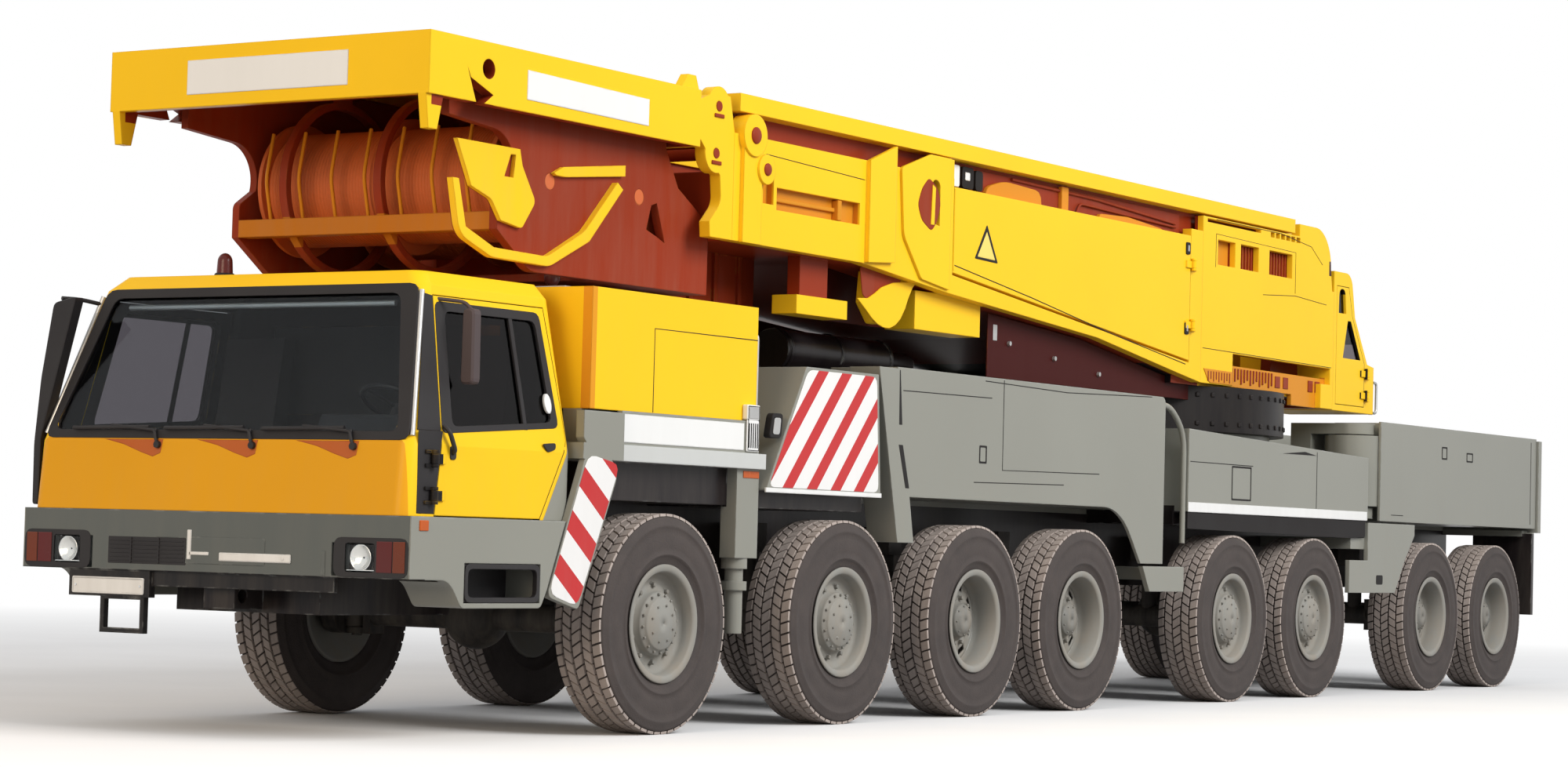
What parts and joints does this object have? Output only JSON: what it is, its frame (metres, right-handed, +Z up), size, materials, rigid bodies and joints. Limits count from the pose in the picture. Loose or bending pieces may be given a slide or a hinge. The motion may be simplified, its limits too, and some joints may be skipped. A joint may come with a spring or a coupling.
{
  "type": "mobile crane",
  "caption": "Heavy all-terrain mobile crane in travelling order, its slewing superstructure turned to the rear, with a folded mast, winches and swing-out outriggers.",
  "frame": {"origin": "on the ground under the middle of the whole vehicle's box", "axes": "+X along the vehicle towards the driver's cab, +Y to the vehicle's left, +Z up"},
  "size_m": [18.05, 3, 4.22],
  "materials": {
    "crane_yellow": "gloss enamel",
    "body_grey": "semi-gloss enamel",
    "chassis_grey": "satin chassis paint",
    "axle_iron": "painted casting",
    "ring_black": "greased steel",
    "frame_rust": "burnt-orange primer",
    "drum_rope": "wire rope layers",
    "tyre_rubber": "matt",
    "cab_glazing": "tinted",
    "cab_trim": "matt",
    "black_plastic": "matt"
  },
  "bodies": {
    "carrier": {"chassis_frame": "chassis_grey", "axle_beams": "axle_iron", "front_bumper": "body_grey", "cab_shell": "crane_yellow", "cab_glass": "cab_glazing", "cab_interior": "cab_trim", "cab_mirrors": "black_plastic", "engine_cover": "crane_yellow", "engine_block": "axle_iron", "front_side_panels": "body_grey", "deck_boxes": "body_grey", "mid_deck": "body_grey", "rear_deck": "body_grey", "slewing_ring": "ring_black"},
    "superstructure": {"platform": "crane_yellow", "rear_hood": "crane_yellow", "tail_box": "crane_yellow", "winch_frame": "frame_rust", "crane_cab": "crane_yellow"},
    "mast": {"mast": "crane_yellow"},
    "winch_drum_front": {"winch_drum_front": "drum_rope"},
    "winch_drum_rear": {"winch_drum_rear": "drum_rope"},
    "side_door_left": {"side_door_left": "crane_yellow"},
    "side_door_right": {"side_door_right": "crane_yellow"},
    "crane_cab_door": {"crane_cab_door": "crane_yellow"},
    "cab_door_left": {"cab_door_left": "crane_yellow"},
    "cab_door_right": {"cab_door_right": "crane_yellow"},
    "outrigger_front_left": {"outrigger_front_left": "body_grey"},
    "outrigger_front_right": {"outrigger_front_right": "body_grey"},
    "outrigger_rear_left": {"outrigger_rear_left": "body_grey"},
    "outrigger_rear_right": {"outrigger_rear_right": "body_grey"},
    "wheel_1_left": {"wheel_1_left": "tyre_rubber"},
    "knuckle_1_left": {"knuckle_1_left": "axle_iron"},
    "wheel_1_right": {"wheel_1_right": "tyre_rubber"},
    "knuckle_1_right": {"knuckle_1_right": "axle_iron"},
    "wheel_2_left": {"wheel_2_left": "tyre_rubber"},
    "knuckle_2_left": {"knuckle_2_left": "axle_iron"},
    "wheel_2_right": {"wheel_2_right": "tyre_rubber"},
    "knuckle_2_right": {"knuckle_2_right": "axle_iron"},
    "wheel_3_left": {"wheel_3_left": "tyre_rubber"},
    "knuckle_3_left": {"knuckle_3_left": "axle_iron"},
    "wheel_3_right": {"wheel_3_right": "tyre_rubber"},
    "knuckle_3_right": {"knuckle_3_right": "axle_iron"},
    "wheel_4_left": {"wheel_4_left": "tyre_rubber"},
    "knuckle_4_left": {"knuckle_4_left": "axle_iron"},
    "wheel_4_right": {"wheel_4_right": "tyre_rubber"},
    "knuckle_4_right": {"knuckle_4_right": "axle_iron"},
    "wheel_5_left": {"wheel_5_left": "tyre_rubber"},
    "wheel_5_right": {"wheel_5_right": "tyre_rubber"},
    "wheel_6_left": {"wheel_6_left": "tyre_rubber"},
    "wheel_6_right": {"wheel_6_right": "tyre_rubber"},
    "wheel_7_left": {"wheel_7_left": "tyre_rubber"},
    "knuckle_7_left": {"knuckle_7_left": "axle_iron"},
    "wheel_7_right": {"wheel_7_right": "tyre_rubber"},
    "knuckle_7_right": {"knuckle_7_right": "axle_iron"},
    "wheel_8_left": {"wheel_8_left": "tyre_rubber"},
    "knuckle_8_left": {"knuckle_8_left": "axle_iron"},
    "wheel_8_right": {"wheel_8_right": "tyre_rubber"},
    "knuckle_8_right": {"knuckle_8_right": "axle_iron"}
  },
  "joints": [
    {"name": "slew", "type": "hinge", "parent": "carrier", "child": "superstructure", "pos_m": [-2.625, 0, 2.62], "axis": [0, 0, 1], "continuous": true},
    {"name": "mast_raise", "type": "hinge", "parent": "superstructure", "child": "mast", "pos_m": [-3.925, 0, 3.8], "axis": [0, -1, 0], "range_deg": [0, 95]},
    {"name": "winch_front_spin", "type": "hinge", "parent": "superstructure", "child": "winch_drum_front", "pos_m": [7.225, 0, 3.4], "axis": [0, 1, 0], "continuous": true},
    {"name": "winch_rear_spin", "type": "hinge", "parent": "superstructure", "child": "winch_drum_rear", "pos_m": [6.265, 0, 3.4], "axis": [0, 1, 0], "continuous": true},
    {"name": "side_door_left_hinge", "type": "hinge", "parent": "superstructure", "child": "side_door_left", "pos_m": [-1.415, 1.274, 3.3], "axis": [0, 0, 1], "range_deg": [0, 100]},
    {"name": "side_door_right_hinge", "type": "hinge", "parent": "superstructure", "child": "side_door_right", "pos_m": [-1.415, -1.274, 3.3], "axis": [0, 0, -1], "range_deg": [0, 100]},
    {"name": "crane_cab_door_hinge", "type": "hinge", "parent": "superstructure", "child": "crane_cab_door", "pos_m": [-5.075, 1.274, 2.8], "axis": [0, 0, 1], "range_deg": [0, 95]},
    {"name": "cab_door_left_hinge", "type": "hinge", "parent": "carrier", "child": "cab_door_left", "pos_m": [8.79, 1.474, 1.55], "axis": [0, 0, -1], "range_deg": [0, 75]},
    {"name": "cab_door_right_hinge", "type": "hinge", "parent": "carrier", "child": "cab_door_right", "pos_m": [8.79, -1.474, 1.55], "axis": [0, 0, 1], "range_deg": [0, 75]},
    {"name": "outrigger_front_left_swing", "type": "hinge", "parent": "carrier", "child": "outrigger_front_left", "pos_m": [-0.525, 1.2, 2], "axis": [0, 0, 1], "range_deg": [0, 55]},
    {"name": "outrigger_front_right_swing", "type": "hinge", "parent": "carrier", "child": "outrigger_front_right", "pos_m": [-0.525, -1.2, 2], "axis": [0, 0, -1], "range_deg": [0, 55]},
    {"name": "outrigger_rear_left_swing", "type": "hinge", "parent": "carrier", "child": "outrigger_rear_left", "pos_m": [-4.935, 1.2, 2], "axis": [0, 0, -1], "range_deg": [0, 55]},
    {"name": "outrigger_rear_right_swing", "type": "hinge", "parent": "carrier", "child": "outrigger_rear_right", "pos_m": [-4.935, -1.2, 2], "axis": [0, 0, 1], "range_deg": [0, 55]},
    {"name": "steer_1_left", "type": "hinge", "parent": "carrier", "child": "knuckle_1_left", "pos_m": [6.445, 1, 0.69], "axis": [0, 0, 1], "range_deg": [-28, 28]},
    {"name": "wheel_1_left_spin", "type": "hinge", "parent": "knuckle_1_left", "child": "wheel_1_left", "pos_m": [6.445, 1.2975, 0.69], "axis": [0, 1, 0], "continuous": true},
    {"name": "steer_1_right", "type": "hinge", "parent": "carrier", "child": "knuckle_1_right", "pos_m": [6.445, -1, 0.69], "axis": [0, 0, 1], "range_deg": [-28.2, 28.2]},
    {"name": "wheel_1_right_spin", "type": "hinge", "parent": "knuckle_1_right", "child": "wheel_1_right", "pos_m": [6.445, -1.2975, 0.69], "axis": [0, 1, 0], "continuous": true},
    {"name": "steer_2_left", "type": "hinge", "parent": "carrier", "child": "knuckle_2_left", "pos_m": [4.305, 1, 0.69], "axis": [0, 0, 1], "range_deg": [-21.65, 21.65]},
    {"name": "wheel_2_left_spin", "type": "hinge", "parent": "knuckle_2_left", "child": "wheel_2_left", "pos_m": [4.305, 1.2975, 0.69], "axis": [0, 1, 0], "continuous": true},
    {"name": "steer_2_right", "type": "hinge", "parent": "carrier", "child": "knuckle_2_right", "pos_m": [4.305, -1, 0.69], "axis": [0, 0, 1], "range_deg": [-21.65, 21.65]},
    {"name": "wheel_2_right_spin", "type": "hinge", "parent": "knuckle_2_right", "child": "wheel_2_right", "pos_m": [4.305, -1.2975, 0.69], "axis": [0, 1, 0], "continuous": true},
    {"name": "steer_3_left", "type": "hinge", "parent": "carrier", "child": "knuckle_3_left", "pos_m": [2.475, 1, 0.69], "axis": [0, 0, 1], "range_deg": [-16.02, 16.02]},
    {"name": "wheel_3_left_spin", "type": "hinge", "parent": "knuckle_3_left", "child": "wheel_3_left", "pos_m": [2.475, 1.2975, 0.69], "axis": [0, 1, 0], "continuous": true},
    {"name": "steer_3_right", "type": "hinge", "parent": "carrier", "child": "knuckle_3_right", "pos_m": [2.475, -1, 0.69], "axis": [0, 0, 1], "range_deg": [-16.02, 16.02]},
    {"name": "wheel_3_right_spin", "type": "hinge", "parent": "knuckle_3_right", "child": "wheel_3_right", "pos_m": [2.475, -1.2975, 0.69], "axis": [0, 1, 0], "continuous": true},
    {"name": "steer_4_left", "type": "hinge", "parent": "carrier", "child": "knuckle_4_left", "pos_m": [0.825, 1, 0.69], "axis": [0, 0, 1], "range_deg": [-10.98, 10.98]},
    {"name": "wheel_4_left_spin", "type": "hinge", "parent": "knuckle_4_left", "child": "wheel_4_left", "pos_m": [0.825, 1.2975, 0.69], "axis": [0, 1, 0], "continuous": true},
    {"name": "steer_4_right", "type": "hinge", "parent": "carrier", "child": "knuckle_4_right", "pos_m": [0.825, -1, 0.69], "axis": [0, 0, 1], "range_deg": [-10.98, 10.98]},
    {"name": "wheel_4_right_spin", "type": "hinge", "parent": "knuckle_4_right", "child": "wheel_4_right", "pos_m": [0.825, -1.2975, 0.69], "axis": [0, 1, 0], "continuous": true},
    {"name": "wheel_5_left_spin", "type": "hinge", "parent": "carrier", "child": "wheel_5_left", "pos_m": [-1.875, 1.2975, 0.69], "axis": [0, 1, 0], "continuous": true},
    {"name": "wheel_5_right_spin", "type": "hinge", "parent": "carrier", "child": "wheel_5_right", "pos_m": [-1.875, -1.2975, 0.69], "axis": [0, 1, 0], "continuous": true},
    {"name": "wheel_6_left_spin", "type": "hinge", "parent": "carrier", "child": "wheel_6_left", "pos_m": [-3.525, 1.2975, 0.69], "axis": [0, 1, 0], "continuous": true},
    {"name": "wheel_6_right_spin", "type": "hinge", "parent": "carrier", "child": "wheel_6_right", "pos_m": [-3.525, -1.2975, 0.69], "axis": [0, 1, 0], "continuous": true},
    {"name": "steer_7_left", "type": "hinge", "parent": "carrier", "child": "knuckle_7_left", "pos_m": [-6.225, 1, 0.69], "axis": [0, 0, -1], "range_deg": [-11.13, 11.13]},
    {"name": "wheel_7_left_spin", "type": "hinge", "parent": "knuckle_7_left", "child": "wheel_7_left", "pos_m": [-6.225, 1.2975, 0.69], "axis": [0, 1, 0], "continuous": true},
    {"name": "steer_7_right", "type": "hinge", "parent": "carrier", "child": "knuckle_7_right", "pos_m": [-6.225, -1, 0.69], "axis": [0, 0, -1], "range_deg": [-11.13, 11.13]},
    {"name": "wheel_7_right_spin", "type": "hinge", "parent": "knuckle_7_right", "child": "wheel_7_right", "pos_m": [-6.225, -1.2975, 0.69], "axis": [0, 1, 0], "continuous": true},
    {"name": "steer_8_left", "type": "hinge", "parent": "carrier", "child": "knuckle_8_left", "pos_m": [-7.875, 1, 0.69], "axis": [0, 0, -1], "range_deg": [-16, 16]},
    {"name": "wheel_8_left_spin", "type": "hinge", "parent": "knuckle_8_left", "child": "wheel_8_left", "pos_m": [-7.875, 1.2975, 0.69], "axis": [0, 1, 0], "continuous": true},
    {"name": "steer_8_right", "type": "hinge", "parent": "carrier", "child": "knuckle_8_right", "pos_m": [-7.875, -1, 0.69], "axis": [0, 0, -1], "range_deg": [-16.2, 16.2]},
    {"name": "wheel_8_right_spin", "type": "hinge", "parent": "knuckle_8_right", "child": "wheel_8_right", "pos_m": [-7.875, -1.2975, 0.69], "axis": [0, 1, 0], "continuous": true}
  ],
  "couplings": [
    {"joint": "steer_1_right", "follows": "steer_1_left", "ratio": 1},
    {"joint": "steer_2_left", "follows": "steer_1_left", "ratio": 0.766},
    {"joint": "steer_2_right", "follows": "steer_1_left", "ratio": 0.766},
    {"joint": "steer_3_left", "follows": "steer_1_left", "ratio": 0.565},
    {"joint": "steer_3_right", "follows": "steer_1_left", "ratio": 0.565},
    {"joint": "steer_4_left", "follows": "steer_1_left", "ratio": 0.385},
    {"joint": "steer_4_right", "follows": "steer_1_left", "ratio": 0.385},
    {"joint": "steer_7_left", "follows": "steer_8_left", "ratio": 0.683},
    {"joint": "steer_7_right", "follows": "steer_8_left", "ratio": 0.683},
    {"joint": "steer_8_right", "follows": "steer_8_left", "ratio": 1}
  ]
}
